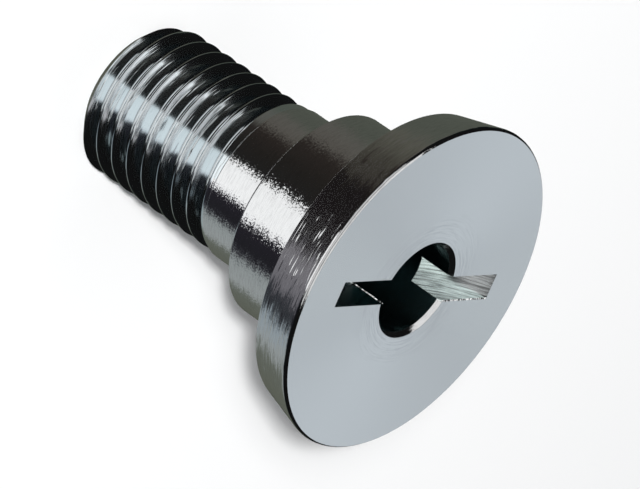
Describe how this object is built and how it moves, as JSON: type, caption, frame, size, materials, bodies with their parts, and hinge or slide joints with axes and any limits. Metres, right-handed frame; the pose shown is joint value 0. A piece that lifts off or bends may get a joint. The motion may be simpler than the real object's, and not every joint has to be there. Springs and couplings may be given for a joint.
{
  "type": "shoulder bolt",
  "caption": "Zinc-plated steel shoulder bolt with a wide drilled and slotted round head, a stepped plain shank and a coarse threaded end.",
  "frame": {"origin": "centre of the flat end of the threaded tip, on which the bolt stands", "axes": "+Z along the bolt's axis from the tip to the head, +X along the head's slot"},
  "size_m": [0.033, 0.033, 0.0367],
  "materials": {
    "plated_steel": "bright blue-white zinc plate on turned steel, with fine turning marks"
  },
  "bodies": {
    "root": {"shoulder_bolt": "plated_steel"}
  },
  "joints": []
}
